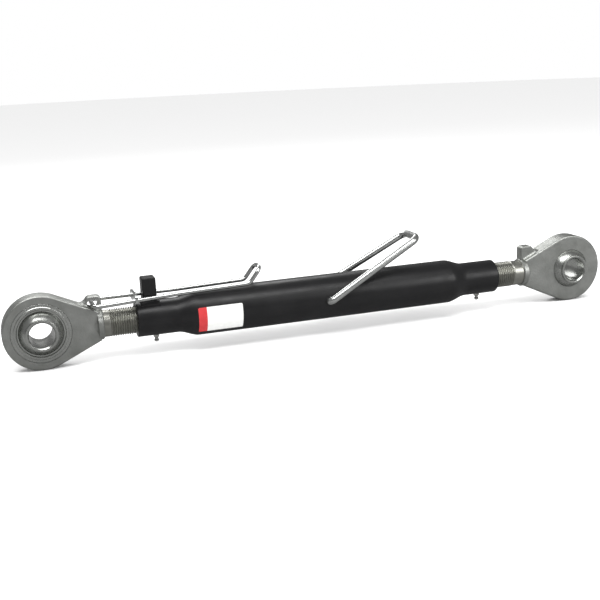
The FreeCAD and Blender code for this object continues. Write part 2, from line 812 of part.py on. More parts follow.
def make_spacer():
    """The plate that keeps the bail's legs apart, with a hole for each leg."""
    body = new_body("bail_spacer")
    sketch = new_sketch(body, "spacer_outline", "YZ_Plane", offset="dims.spacer_x")
    side, low, high = "dims.spacer_half_width", "dims.spacer_bottom", "dims.spacer_top"
    draw(
        sketch,
        [
            (f"-{side}", low),
            (side, low),
            (side, high),
            (f"-{side}", high),
        ],
    )
    plate = body.newObject("PartDesign::Pad", "spacer_plate")
    plate.Profile = sketch
    plate.setExpression("Length", "dims.spacer_thickness")

    def at_a_corner(edge):
        return edge.BoundBox.XLength > NEAR

    rounded(body, "spacer_corners", plate, "dims.spacer_corner_radius", at_a_corner)
    middle = "(dims.spacer_x + dims.spacer_thickness / 2)"
    along = f"(({middle} - dims.ear_hole_x) / (dims.bail_waist_x - dims.ear_hole_x))"
    leg_y = (
        "(dims.bail_root_half_width"
        f" + (dims.bail_half_width - dims.bail_root_half_width) * {along})"
    )
    leg_z = (
        "(dims.bail_pivot_z + (dims.bail_knee_z - dims.bail_pivot_z)"
        f" * ({middle} - dims.ear_hole_x) / (dims.bail_knee_x - dims.ear_hole_x))"
    )
    holes = new_sketch(body, "spacer_hole_outline", "YZ_Plane", offset=middle)
    for sign in ("-", ""):
        draw_circle(holes, f"{sign}{leg_y}", leg_z, "dims.spacer_hole_radius")
    through = "dims.spacer_thickness + 2 * dims.tool_overrun"
    slab(body, "spacer_holes", holes, through, cut=True)
    return body


# ---- Label ----------------------------------------------------------------------------------
def make_label():
    """A thin blank label that wraps the front of the barrel."""
    inner = value(TUBE_RADIUS) + value("dims.label_gap")
    outer = inner + value("dims.label_thickness")
    start, length = value("dims.label_start"), value("dims.label_length")
    upper, lower = value("dims.label_upper_angle"), value("dims.label_lower_angle")
    sweep = upper + lower
    origin, along = Vec(0, 0, 0), Vec(0, 0, 1)
    shell = Part.makeCylinder(outer, length, origin, along, sweep)
    shell = shell.cut(Part.makeCylinder(inner, length, origin, along, sweep)).Solids[0]
    low = math.radians(lower)
    edge = Vec(0, -math.cos(low), -math.sin(low))
    onward = Vec(0, -math.sin(low), math.cos(low))
    turn = FreeCAD.Rotation(edge, onward, Vec(-1, 0, 0), "ZXY")
    shell.Placement = FreeCAD.Placement(Vec(start + length, 0, 0), turn)
    label = doc.addObject("Part::Feature", "label")
    label.Shape = shell
    return label


# ---- Assembly -------------------------------------------------------------------------------
pieces = [make_tube(), make_handle()]
pieces += make_lock_block()
pieces += [
    make_nipple("left_grease_nipple", "dims.nipple_left_x"),
    make_nipple("right_grease_nipple", "dims.nipple_right_x"),
]
pieces += [
    make_eye("left_eye", drilled=True),
    make_stud("left_stud"),
    make_retainer("left_retainer"),
    make_ball("left_ball"),
]
pieces += [
    face_left(make_eye("right_eye", drilled=False)),
    face_left(make_stud("right_stud")),
    face_left(make_retainer("right_retainer")),
    face_left(make_ball("right_ball")),
]
pieces += [make_bail(), make_spacer(), make_label()]
doc.recompute()

faults = [o.Name for o in doc.Objects if "Invalid" in o.State or "Error" in o.State]
for piece in pieces:
    if piece.Shape.isNull() or not piece.Shape.isValid() or not piece.Shape.Solids:
        faults.append(piece.Label)
if faults:
    raise SystemExit(f"failed: {faults}")

os.makedirs("parts", exist_ok=True)
for piece in pieces:
    piece.Shape.exportStep(f"parts/{piece.Label}.step")
    box = piece.Shape.BoundBox
    print(
        f"{piece.Label:22s} {piece.Shape.Volume:10.0f} mm3, {len(piece.Shape.Faces):3d} faces,"
        f" x {box.XMin:.1f}..{box.XMax:.1f} y {box.YMin:.1f}..{box.YMax:.1f}"
        f" z {box.ZMin:.1f}..{box.ZMax:.1f}"
    )
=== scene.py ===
# %% [markdown]
# # A tractor top link
# A top link is the upper arm between a tractor and the implement behind it. Two studs, one with a
# left-hand and one with a right-hand thread, screw into a black barrel, and a ball in each eye
# takes the hitch pin. Turning the barrel by its swing-over handle makes the link longer or
# shorter, and the wire bail over the left stud stops it from turning by itself.
#
# The CAD model already has every piece at its size and place, so this lesson loads it as a fixed
# frame and gives each piece its surface and its finish. Lengths in the cells are in millimetres,
# and one helper turns them into Blender's metres.

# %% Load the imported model
import json
import math

import bpy
import numpy as np
from mathutils import Matrix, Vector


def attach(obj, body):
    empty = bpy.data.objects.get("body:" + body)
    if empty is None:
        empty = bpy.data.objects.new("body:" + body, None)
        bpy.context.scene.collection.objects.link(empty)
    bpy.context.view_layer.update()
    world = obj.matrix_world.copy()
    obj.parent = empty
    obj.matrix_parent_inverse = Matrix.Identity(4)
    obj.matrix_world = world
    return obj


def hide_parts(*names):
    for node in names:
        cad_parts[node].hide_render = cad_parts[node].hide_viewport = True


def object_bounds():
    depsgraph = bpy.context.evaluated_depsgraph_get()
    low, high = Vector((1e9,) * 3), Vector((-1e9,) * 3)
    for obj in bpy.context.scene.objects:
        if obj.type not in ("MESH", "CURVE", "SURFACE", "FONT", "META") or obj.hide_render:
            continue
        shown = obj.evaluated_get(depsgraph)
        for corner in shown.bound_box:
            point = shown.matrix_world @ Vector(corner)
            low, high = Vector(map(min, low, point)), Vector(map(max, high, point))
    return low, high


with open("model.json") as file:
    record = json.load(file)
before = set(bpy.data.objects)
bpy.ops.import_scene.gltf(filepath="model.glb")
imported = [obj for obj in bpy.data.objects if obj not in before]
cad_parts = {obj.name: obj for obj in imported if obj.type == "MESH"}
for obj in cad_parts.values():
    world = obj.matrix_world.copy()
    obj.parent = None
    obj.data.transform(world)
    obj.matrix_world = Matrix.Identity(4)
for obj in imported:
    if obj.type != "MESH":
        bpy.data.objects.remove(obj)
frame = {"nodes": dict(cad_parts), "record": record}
nodes = frame["nodes"]
cad_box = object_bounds()
MM = 0.001

# %% [markdown]
# ## The room
# The link stands on the rims of its two eyes, so the floor is at the lowest point of the model.
# A wide pale disc and a white sky leave a seamless pale background, and soft area lights draw the
# long bands of light that show how round the barrel is. A metal takes nearly all of its look
# from what it reflects, so the sky that the reflections see is dimmer than the one behind the
# link: bright lamps then read as highlights and the rest stays a quiet grey.

# %% Floor and sky
FLOOR_RADIUS, FLOOR_ROUGHNESS = 9.0, 0.95
FLOOR_PALE, FLOOR_MIRRORED = (0.93, 0.93, 0.93), (0.22, 0.22, 0.22)
SKY_SEEN, SKY_MIRRORED = 1.0, 0.22
floor_mesh = bpy.data.meshes.new("studio_floor")
turn = np.linspace(0, 2 * np.pi, 96, endpoint=False)
rim = np.stack([FLOOR_RADIUS * np.cos(turn), FLOOR_RADIUS * np.sin(turn), 0 * turn], 1)
rim[:, 2] = cad_box[0].z
floor_mesh.from_pydata(rim.tolist(), [], [list(range(len(rim)))])
floor = bpy.data.objects.new("studio_floor", floor_mesh)
bpy.context.scene.collection.objects.link(floor)

sky = bpy.data.worlds.new("studio_sky")
sky.use_nodes = True
bpy.context.scene.world = sky
sky_tree = sky.node_tree
sky_mirrored = sky_tree.nodes["Background"]
sky_seen = sky_tree.nodes.new("ShaderNodeBackground")
for glow, strength in ((sky_seen, SKY_SEEN), (sky_mirrored, SKY_MIRRORED)):
    glow.inputs["Color"].default_value = (1.0, 1.0, 1.0, 1.0)
    glow.inputs["Strength"].default_value = strength
sky_ray = sky_tree.nodes.new("ShaderNodeLightPath")
sky_mix = sky_tree.nodes.new("ShaderNodeMixShader")
sky_tree.links.new(sky_ray.outputs["Is Glossy Ray"], sky_mix.inputs[0])
sky_tree.links.new(sky_seen.outputs[0], sky_mix.inputs[1])
sky_tree.links.new(sky_mirrored.outputs[0], sky_mix.inputs[2])
sky_tree.links.new(sky_mix.outputs[0], sky_tree.nodes["World Output"].inputs["Surface"])
bpy.context.scene.view_settings.view_transform = "Standard"
print(f"floor at z = {cad_box[0].z / MM:.1f} mm")

# %% Lamps
def to_euler(side, up, forward):
    """The turn whose local X, Y and -Z axes are side, up and forward."""
    axes = np.stack([side, up, -np.array(forward)], 1)
    return Matrix(axes.tolist()).to_euler()


def softbox(name, place, aim, width, height, power):
    """A rectangular area light at place that faces aim. All lengths are in metres."""
    lamp = bpy.data.lights.new(name, "AREA")
    lamp.shape, lamp.size, lamp.size_y, lamp.energy = "RECTANGLE", width, height, power
    stand = bpy.data.objects.new(name, lamp)
    stand.location = place
    gaze = np.array(aim, float) - np.array(place, float)
    forward = gaze / np.linalg.norm(gaze)
    side = np.cross(forward, (0, 0, 1))
    side /= np.linalg.norm(side)
    up = np.cross(side, forward)
    stand.rotation_euler = to_euler(side, up, forward)
    bpy.context.scene.collection.objects.link(stand)


softbox("key_softbox", (0.1, -0.9, 1.9), (0.35, 0, 0), 2.2, 0.7, 34)
softbox("fill_softbox", (1.6, -1.5, 0.9), (0.5, 0, 0), 0.9, 0.9, 12)
softbox("back_softbox", (0.2, 1.6, 1.5), (0.35, 0, 0), 2.0, 0.6, 20)

# %% Camera
CAMERA_PLACE = (-58.75, -1283.64, 327.67)
YAW, PITCH, ROLL = 0.3037, 0.2397, -0.0489
LENS, SENSOR = 61.268, 36.0
forward = np.array(
    [math.sin(YAW) * math.cos(PITCH), math.cos(YAW) * math.cos(PITCH), -math.sin(PITCH)]
)
level = np.array([math.cos(YAW), -math.sin(YAW), 0.0])
upright = np.cross(level, forward)
right = math.cos(ROLL) * level + math.sin(ROLL) * upright
up = -math.sin(ROLL) * level + math.cos(ROLL) * upright
camera_data = bpy.data.cameras.new("catalogue_camera")
camera_data.lens, camera_data.sensor_width = LENS, SENSOR
camera_data.clip_start, camera_data.clip_end = 0.05, 60.0
camera = bpy.data.objects.new("catalogue_camera", camera_data)
camera.location = np.array(CAMERA_PLACE) * MM
camera.rotation_euler = to_euler(right, up, forward)
bpy.context.scene.collection.objects.link(camera)
bpy.context.scene.camera = camera
aside, down = math.degrees(YAW), math.degrees(PITCH)
print(f"camera {LENS} mm, {aside:.1f} degrees to the right, {down:.1f} down")

# %% [markdown]
# ## From numbers to a surface
# Nearly everything on a top link is either turned on a lathe or bent from a bar, and both are a
# profile that travels along something. So every new piece here is a grid of points, worked out
# as whole numpy arrays, and one helper makes a closed mesh from such a grid. Blender's
# primitives would be quicker to add, but a grid keeps the exact profile and even faces.

# %% Grid to mesh
def weave(rows, columns, close_rows):
    """Corner numbers of the squares between neighbouring points of a grid closed in columns."""
    r = np.arange(rows if close_rows else rows - 1)[:, None]
    c = np.arange(columns)[None, :]
    below, beside = (r + 1) % rows, (c + 1) % columns
    here, there = r * columns, below * columns
    corners = [here + c, here + beside, there + beside, there + c]
    return np.stack(corners, -1).reshape(-1, 4)


def volume_of(points, squares, triangles):
    """Signed volume: a sixth of a . (b x c) over all triangles, above 0 if faces look outwards."""
    halves = np.vstack([squares[:, [0, 1, 2]], squares[:, [0, 2, 3]], triangles])
    a, b, c = (points[halves[:, i]] for i in range(3))
    return float(np.einsum("ij,ij->i", a, np.cross(b, c)).sum() / 6)


def skin(name, grid, material, body, stands_for, close_rows=False, caps=False, crease=35):
    """Makes the piece whose surface is a grid of points, shape (rows, columns, 3), in mm.

    Columns always close on themselves. Rows close into a ring, or end in a flat cap at each end,
    which is a fan from the middle of the end row. Faces that look inwards are turned round.
    """
    rows, columns = grid.shape[:2]
    points = grid.reshape(-1, 3)
    squares = weave(rows, columns, close_rows)
    triangles = np.zeros((0, 3), int)
    if caps:
        first = np.arange(columns)
        last = first + (rows - 1) * columns
        middles = np.stack([grid[0].mean(0), grid[-1].mean(0)])
        hub = len(points)
        points = np.vstack([points, middles])
        triangles = np.vstack(
            [
                np.stack([np.roll(first, -1), first, np.full(columns, hub)], 1),
                np.stack([last, np.roll(last, -1), np.full(columns, hub + 1)], 1),
            ]
        )
    if volume_of(points, squares, triangles) < 0:
        squares, triangles = squares[:, ::-1], triangles[:, ::-1]
    mesh = bpy.data.meshes.new(name)
    mesh.from_pydata((points * MM).tolist(), [], squares.tolist() + triangles.tolist())
    return place(name, mesh, material, body, stands_for, crease)


def place(name, mesh, material, body, stands_for, crease):
    """Puts a mesh into the scene: smooth shading up to a crease angle, its finish and its body."""
    mesh.shade_smooth()
    mesh.set_sharp_from_angle(angle=math.radians(crease))
    mesh.materials.append(material)
    piece = bpy.data.objects.new(name, mesh)
    bpy.context.scene.collection.objects.link(piece)
    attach(piece, body)
    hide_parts(*stands_for)
    print(f"{name}: {len(mesh.vertices)} points, {len(mesh.polygons)} faces")
    return piece


# %% Rounded corners
def rounded_run(points, radii, steps=8):
    """A run of straight lines whose inner corners become arcs, for 2-D or 3-D points.

    At a corner the line turns by an angle w. The arc starts r * tan(w / 2) before the corner, and
    its points are start + r * sin(a) * onward + r * (1 - cos(a)) * sideways for a from 0 to w.
    """
    points, radii = np.array(points, float), np.array(radii, float)[:, None]
    came, goes = points[1:-1] - points[:-2], points[2:] - points[1:-1]
    came /= np.linalg.norm(came, axis=1, keepdims=True)
    goes /= np.linalg.norm(goes, axis=1, keepdims=True)
    cosine = np.clip((came * goes).sum(1, keepdims=True), -1, 1)
    bend = np.arccos(cosine)
    sideways = goes - cosine * came
    sideways /= np.maximum(np.linalg.norm(sideways, axis=1, keepdims=True), 1e-12)
    start = points[1:-1] - came * radii * np.tan(bend / 2)
    angle = bend * np.linspace(0, 1, steps + 1)
    arcs = (
        start[:, None]
        + (radii * np.sin(angle))[..., None] * came[:, None]
        + (radii * (1 - np.cos(angle)))[..., None] * sideways[:, None]
    )
    return np.vstack([points[:1], arcs.reshape(-1, points.shape[1]), points[-1:]])


def rounded_loop(points, radii, steps=4):
    """The same for a closed outline: every corner becomes an arc."""
    points = np.array(points, float)
    again = np.vstack([points[-1:], points, points[:1]])
    return rounded_run(again, radii, steps)[1:-1]


# %% Turned and swept surfaces
def turned(outline, axis, centre=(0, 0, 0), count=96):
    """Turns an outline: centre + along * axis + radius * (cos t * side + sin t * other)."""
    axis = np.array(axis, float)
    side = np.array([0, 0, 1.0]) if abs(axis[2]) < 0.5 else np.array([1.0, 0, 0])
    other = np.cross(axis, side)
    t = np.linspace(0, 2 * np.pi, count, endpoint=False)
    round_it = np.cos(t)[:, None] * side + np.sin(t)[:, None] * other
    along, radius = np.asarray(outline, float).T
    return np.array(centre) + along[:, None, None] * axis + radius[:, None, None] * round_it


def swept(path, radius, up, count=24):
    """A round section carried along a path: path + radius * (cos t * side + sin t * top).

    Side is at right angles to the path and to up, and top is at right angles to both. Radius and
    up may change from point to point.
    """
    path = np.asarray(path, float)
    ahead = np.gradient(path, axis=0)
    ahead /= np.linalg.norm(ahead, axis=1, keepdims=True)
    side = np.cross(np.broadcast_to(up, path.shape), ahead)
    side /= np.linalg.norm(side, axis=1, keepdims=True)
    top = np.cross(ahead, side)
    t = np.linspace(0, 2 * np.pi, count, endpoint=False)[:, None]
    section = np.cos(t) * side[:, None] + np.sin(t) * top[:, None]
    return path[:, None] + np.broadcast_to(radius, len(path))[:, None, None] * section


# %% [markdown]
# ## Finishes
# The barrel is black satin paint sprayed on rough steel. The ends are forged, blasted
# and zinc plated, which leaves a pale, slightly uneven grey. The balls and rings are turned and
# plated, so light runs round them in fine circles. The rod of the handle and the wire of the bail
# are drawn bright bar. Each finish is one Principled shader: noise in object coordinates moves
# its colour, roughness and bump a little, because no real surface is perfectly even.

# %% Node helpers
def add_node(tree, kind, inputs=None, **settings):
    """Adds a shader node, sets its options, and links or sets its inputs."""
    made = tree.nodes.new(kind)
    for option, choice in settings.items():
        setattr(made, option, choice)
    for socket, source in (inputs or {}).items():
        if isinstance(source, bpy.types.NodeSocket):
            tree.links.new(source, made.inputs[socket])
        else:
            made.inputs[socket].default_value = source
    return made


def noise(tree, where, scale, detail=3.0, roughness=0.5):
    """A cloud pattern with values about 0.5; scale is in clouds to the metre."""
    inputs = {"Vector": where, "Scale": scale, "Detail": detail, "Roughness": roughness}
    return add_node(tree, "ShaderNodeTexNoise", inputs).outputs["Fac"]


def ramp(tree, source, low, high, from_low=0.3, from_high=0.7):
    """Carries source from one range of numbers to another, and holds it at the ends."""
    inputs = {0: source, 1: from_low, 2: from_high, 3: low, 4: high}
    return add_node(tree, "ShaderNodeMapRange", inputs).outputs[0]


def blend_colour(tree, share, first, second):
    """Mixes two colours by a share from 0 to 1."""
    mixer = add_node(tree, "ShaderNodeMix", data_type="RGBA")
    tree.links.new(share, mixer.inputs[0])
    for socket, colour in ((6, first), (7, second)):
        if isinstance(colour, bpy.types.NodeSocket):
            tree.links.new(colour, mixer.inputs[socket])
        else:
            mixer.inputs[socket].default_value = (*colour, 1.0)
    return mixer.outputs[2]


def new_finish(name, **constants):
    """A material with its Principled shader and object coordinates, in metres."""
    material = bpy.data.materials.new(name)
    material.use_nodes = True
    tree = material.node_tree
    shader = tree.nodes["Principled BSDF"]
    for socket, number in constants.items():
        shader.inputs[socket.replace("_", " ")].default_value = number
    where = add_node(tree, "ShaderNodeTexCoord").outputs["Object"]
    return material, tree, shader, where


def bump(tree, shader, height, depth):
    """Roughens the surface: height from 0 to 1 stands for depth, in metres."""
    inputs = {"Height": height, "Distance": depth, "Strength": 1.0}
    made = add_node(tree, "ShaderNodeBump", inputs)
    tree.links.new(made.outputs[0], shader.inputs["Normal"])


# %% Black paint and zinc plate
BLACK, DUSTY_BLACK = (0.0065, 0.0065, 0.007), (0.010, 0.010, 0.0105)


def black_paint():
    """Satin black: nearly black, a fine orange peel, and a little dust in broad patches."""
    material, tree, shader, where = new_finish("black_paint", Specular_IOR_Level=0.30)
    patches = noise(tree, where, 28, 4)
    colour = blend_colour(tree, ramp(tree, patches, 0, 1), BLACK, DUSTY_BLACK)
    tree.links.new(colour, shader.inputs["Base Color"])
    tree.links.new(ramp(tree, noise(tree, where, 60, 3), 0.30, 0.40), shader.inputs["Roughness"])
    bump(tree, shader, noise(tree, where, 700, 2), 0.00006)
    return material


def zinc(name, pale, dark, roughness, peel_scale, peel_depth, mottle=45):
    """Zinc plate: a grey metal, mottled, with a skin that is rougher the deeper its peel is."""
    material, tree, shader, where = new_finish(name, Metallic=1.0)
    clouds = ramp(tree, noise(tree, where, mottle, 5, 0.6), 0, 1)
    tree.links.new(blend_colour(tree, clouds, dark, pale), shader.inputs["Base Color"])
    spread = ramp(tree, noise(tree, where, mottle * 2.3, 4), roughness * 0.85, roughness * 1.2)
    tree.links.new(spread, shader.inputs["Roughness"])
    bump(tree, shader, noise(tree, where, peel_scale, 4, 0.6), peel_depth)
    return material


paint = black_paint()
forging_zinc = zinc("zinc_forging", (0.50, 0.51, 0.49), (0.36, 0.37, 0.35), 0.42, 420, 0.00035)
turned_zinc = zinc("zinc_turned", (0.52, 0.53, 0.51), (0.42, 0.43, 0.41), 0.26, 1200, 0.00004)
thread_zinc = zinc("zinc_thread", (0.46, 0.46, 0.42), (0.34, 0.34, 0.31), 0.33, 1500, 0.00003)
rod_zinc = zinc("zinc_rod", (0.66, 0.67, 0.66), (0.54, 0.55, 0.54), 0.24, 900, 0.00003)
wire_zinc = zinc("zinc_wire", (0.68, 0.69, 0.68), (0.56, 0.57, 0.56), 0.20, 1100, 0.00002)
fitting_zinc = zinc("zinc_fitting", (0.62, 0.62, 0.60), (0.48, 0.48, 0.46), 0.25, 1500, 0.00002)

floor_finish, floor_tree, floor_shader, _ = new_finish("floor_paper", Roughness=FLOOR_ROUGHNESS)
floor_ray = add_node(floor_tree, "ShaderNodeLightPath").outputs["Is Glossy Ray"]
floor_colour = blend_colour(floor_tree, floor_ray, FLOOR_PALE, FLOOR_MIRRORED)
floor_tree.links.new(floor_colour, floor_shader.inputs["Base Color"])
floor.data.materials.append(floor_finish)
print("finishes:", ", ".join(sorted(m.name for m in bpy.data.materials)))

# %% [markdown]
# ## CAD nodes whose shape is already right
# A forging has no profile that could be turned or swept, so the CAD solid itself is the best
# surface for it. The same goes for the lock block with its weld and for the bail's spacer. Their
# meshes are left as they came and only get their finish. The label's node gets black for the
# moment, as a paper sheet stands in for it further down.

# %% Finish the CAD nodes
FINISH_OF_SLOT = {
    "black_paint": paint,
    "zinc_forging": forging_zinc,
    "zinc_turned": turned_zinc,
    "zinc_thread": thread_zinc,
    "zinc_rod": rod_zinc,
    "zinc_wire": wire_zinc,
    "zinc_fitting": fitting_zinc,
    "label_paper": paint,
}
for part in frame["record"]["subparts"]:
    node = nodes[part["node"]]
    node.data.materials.clear()
    node.data.materials.append(FINISH_OF_SLOT[part["material_slot"]])
print("finished", len(nodes), "nodes")

# %% [markdown]
# ## The barrel
# A barrel starts as a plain tube whose two ends are swaged: rotating dies squeeze them down to
# necks that are thick enough to be threaded. It is turned here from one closed outline, so the
# bore is real, and its step from neck to barrel follows a smooth S, as squeezed steel does. The
# cross holes of the handle are not cut here: the rod fills nearly all of each, and simply passes
# through the wall.

# %% Barrel surface
TUBE_RADIUS, NECK_RADIUS, BORE_RADIUS, CAVITY_RADIUS = 30.15, 23.0, 18.06, 22.65
TUBE_START, TUBE_END, BORE_DEPTH, BORE_TAPER = 120.3, 634.5, 62.0, 9.0
LEFT_NECK, RIGHT_NECK, FLARE = 52.5, 48.0, 28.0
MOUTH_BEVEL, MOUTH_EDGE, BEVEL_EDGES = 1.6, 1.3, [0.8, 0.5]


def ease(share):
    """The S curve 3 s^2 - 2 s^3, from 0 to 1 with level ends."""
    return share * share * (3 - 2 * share)


def barrel_outline():
    """Pairs (x, radius) once round the wall: outside from left to right, then back inside."""
    step = np.linspace(0, 1, 20)
    rise = NECK_RADIUS + (TUBE_RADIUS - NECK_RADIUS) * ease(step)
    left_step = np.stack([TUBE_START + LEFT_NECK + FLARE * step, rise], 1)
    right_step = np.stack([TUBE_END - RIGHT_NECK - FLARE + FLARE * step, rise[::-1]], 1)
    run = np.linspace(left_step[-1, 0], right_step[0, 0], 60)[1:-1]
    body = np.stack([run, np.full_like(run, TUBE_RADIUS)], 1)
    left_mouth = rounded_run(
        [(TUBE_START, BORE_RADIUS), (TUBE_START, NECK_RADIUS), left_step[0]], [MOUTH_EDGE], 5
    )[:-1]
    right_mouth = rounded_run(
        [
            right_step[-1],
            (TUBE_END - MOUTH_BEVEL, NECK_RADIUS),
            (TUBE_END, NECK_RADIUS - MOUTH_BEVEL),
            (TUBE_END, BORE_RADIUS),
        ],
        BEVEL_EDGES,
        6,
    )[1:]
    inside = [
        (TUBE_END - BORE_DEPTH, BORE_RADIUS),
        (TUBE_END - BORE_DEPTH - BORE_TAPER, CAVITY_RADIUS),
        (TUBE_START + BORE_DEPTH + BORE_TAPER, CAVITY_RADIUS),
        (TUBE_START + BORE_DEPTH, BORE_RADIUS),
    ]
    return np.vstack([left_mouth, left_step, body, right_step, right_mouth, inside])


skin(
    "barrel_tube",
    turned(barrel_outline(), (1, 0, 0), count=144),
    paint,
    "barrel",
    ["tube"],
    close_rows=True,
)

# %% [markdown]
# ## The threads
# The studs are M36 with a 3 mm pitch, right-hand at the right end and left-hand at the left end,
# so that one turn of the barrel pushes both out. A plain bar with a bump map would show a smooth
# outline, so the thread is real: the radius is a wave along the bar that moves on by one pitch
# for each turn.

# %% Stud surface
LINK_LENGTH = 755.0
THREAD_PITCH, CREST, ROOT, RUN_IN = 3.0, 18.0, 16.25, 1.5
FOOT_FLAT, FLANK = 0.12, 0.70
SHANK_START, STUD_TIP, SHANK_EDGE = 78.0, 290.3, 0.8
START_DROP, TIP_RISE, TIP_SLOPE = 0.5, 0.5, 0.9
ROWS_TO_A_PITCH, THREAD_COLUMNS = 12, 64


def stud_grid(shank_end, hand):
    """Radius = root + depth * wave((x / pitch - hand * t / 2 pi) mod 1), with the wave flattened.

    The wave is a triangle between 0 and 1 whose foot and crest are cut flat. Near the shank and
    at the tip the depth fades out, and the crest follows a short bevel.
    """
    thread = np.arange(shank_end, STUD_TIP, THREAD_PITCH / ROWS_TO_A_PITCH)
    x = np.concatenate([[SHANK_START, shank_end - SHANK_EDGE], thread, [STUD_TIP]])[:, None]
    t = np.linspace(0, 2 * np.pi, THREAD_COLUMNS, endpoint=False)[None, :]
    phase = (x / THREAD_PITCH - hand * t / (2 * np.pi)) % 1
    wave = np.clip((1 - np.abs(2 * phase - 1) - FOOT_FLAT) / FLANK, 0, 1)
    run_in = np.clip((x - shank_end) / RUN_IN, 0, 1)
    crest = np.minimum(CREST, ROOT + TIP_RISE + (STUD_TIP - x) * TIP_SLOPE)
    crest = np.minimum(crest, CREST - START_DROP + run_in * START_DROP)
    depth = (crest - ROOT) * run_in
    radius = crest - depth * (1 - wave)
    return np.stack([x + 0 * t, -radius * np.sin(t), radius * np.cos(t)], -1)


def to_right_end(grid):
    """Turns a left-end shape half round Z and carries it to the right ball: (L - x, -y, z)."""
    return np.array([LINK_LENGTH, 0, 0]) + grid * np.array([-1, -1, 1])


skin("left_stud_thread", stud_grid(85.5, -1), thread_zinc, "left_end", ["left_stud"], caps=True)
skin(
    "right_stud_thread",
    to_right_end(stud_grid(92.0, 1)),
    thread_zinc,
    "right_end",
    ["right_stud"],
    caps=True,
)

# %% [markdown]
# ## Balls and retaining rings
# Each ball is turned from bar: a sphere with a collar at either side, drilled for a 32 mm hitch
# pin. The ring behind it is turned too and pressed into the eye. An outline turned about the pin's
# axis makes both, with every sharp edge broken by a small arc, because that thin edge is where a
# turned part catches the light.

# %% Ball and ring surfaces
BALL, COLLAR, HALF_WIDTH, PIN, PIN_BEVEL = 30.0, 20.5, 25.5, 16.0, 1.6
FACE, SEAT, RING, RING_DEPTH, DISH = -13.0, 30.3, 38.0, 8.0, 1.2


def ball_outline():
    """Pairs (y, radius): the pin hole, its bevel, the collar, the sphere, and the same again."""
    shoulder = math.sqrt(BALL**2 - COLLAR**2)
    turn_in = np.linspace(-math.asin(shoulder / BALL), math.asin(shoulder / BALL), 40)
    sphere = np.stack([BALL * np.sin(turn_in), BALL * np.cos(turn_in)], 1)
    near = rounded_run(
        [
            (0, PIN),
            (-HALF_WIDTH + PIN_BEVEL, PIN),
            (-HALF_WIDTH, PIN + PIN_BEVEL),
            (-HALF_WIDTH, COLLAR),
            (-shoulder, COLLAR),
        ],
        [0.5, 0.4, 0.7],
        4,
    )
    far = near[::-1] * (-1, 1)
    return np.vstack([near[:-1], sphere, far[1:-1]])


def ring_outline():
    """Pairs (y, radius) round the ring: seat, dish, raised lip, face and outside."""
    back = FACE + RING_DEPTH
    mouth = math.sqrt(SEAT**2 - (FACE + DISH) ** 2)
    loop = [
        (back, RING),
        (back, math.sqrt(SEAT**2 - back**2)),
        (FACE + DISH, mouth),
        (FACE + DISH, 30.0),
        (FACE - 0.6, 30.8),
        (FACE - 0.6, 33.4),
        (FACE + 0.1, 34.2),
        (FACE, RING - 0.6),
        (FACE + 0.7, RING),
    ]
    return rounded_loop(loop, [0.3, 0.3, 0.3, 0.3, 0.35, 0.35, 0.3, 0.3, 0.3], 4)


ball_grid = turned(ball_outline(), (0, 1, 0), count=128)
ring_grid = turned(ring_outline(), (0, 1, 0), count=128)
skin("left_swivel_ball", ball_grid, turned_zinc, "left_swivel", ["left_ball"], close_rows=True)
skin("left_ring", ring_grid, turned_zinc, "left_end", ["left_retainer"], close_rows=True)
skin(
    "right_swivel_ball",
    to_right_end(ball_grid),
    turned_zinc,
    "right_swivel",
    ["right_ball"],
    close_rows=True,
)
skin(
    "right_ring",
    to_right_end(ring_grid),
    turned_zinc,
    "right_end",
    ["right_retainer"],
    close_rows=True,
)

# %% [markdown]
# ## Bent rod and wire
# The handle is one 10 mm rod and the bail one 5.5 mm wire. Both were bent round pins in a jig, so
# each is a run of straight lines joined by arcs, with a round section carried along it. A curve
# with a bevel would look the same, but the grid keeps the section square to the path everywhere.

# %% Turning handle
HANDLE_X, ROD, HANDLE_HALF, GRIP_HALF, HANDLE_LENGTH = 375.0, 5.0, 36.2, 22.5, 152.0
STUB, TILT, ELBOW_BEND, GRIP_BEND = 14.0, math.radians(28.0), 6.5, 12


def with_soft_ends(path, radius, edge, steps=4):
    """Adds stations at both ends whose section follows a quarter circle of size edge.

    At the angle b the station is edge * (1 - cos b) from the end, with the radius
    radius - edge * (1 - sin b).
    """
    b = np.linspace(0, np.pi / 2, steps + 1)
    inset, size = edge * (1 - np.cos(b)), radius - edge * (1 - np.sin(b))
    ahead, back = path[1] - path[0], path[-2] - path[-1]
    start = path[0] + inset[:, None] * ahead / np.linalg.norm(ahead)
    finish = path[-1] + inset[:, None] * back / np.linalg.norm(back)
    sizes = np.concatenate([size, np.full(len(path) - 2, radius), size[::-1]])
    return np.vstack([start, path[1:-1], finish[::-1]]), sizes


def handle_path():
    """The rod's middle line: stub, elbow, arm, grip, arm, elbow, stub, tilted up about the stubs."""
    corners = [
        (0, -(HANDLE_HALF - STUB)),
        (0, -HANDLE_HALF),
        (HANDLE_LENGTH, -GRIP_HALF),
        (HANDLE_LENGTH, GRIP_HALF),
        (0, HANDLE_HALF),
        (0, HANDLE_HALF - STUB),
    ]
    flat = rounded_run(corners, [ELBOW_BEND, GRIP_BEND, GRIP_BEND, ELBOW_BEND], 12)
    lift = flat[:, :1] * np.array([[math.cos(TILT), 0, math.sin(TILT)]])
    return lift + flat[:, 1:] * np.array([[0, 1.0, 0]]) + np.array([HANDLE_X, 0, 0])


tilted_up = np.array([-math.sin(TILT), 0, math.cos(TILT)])
path, sizes = with_soft_ends(handle_path(), ROD, 0.8)
rod = swept(path, sizes, tilted_up, 32)
skin("handle_rod", rod, rod_zinc, "handle", ["turning_handle"], caps=True)

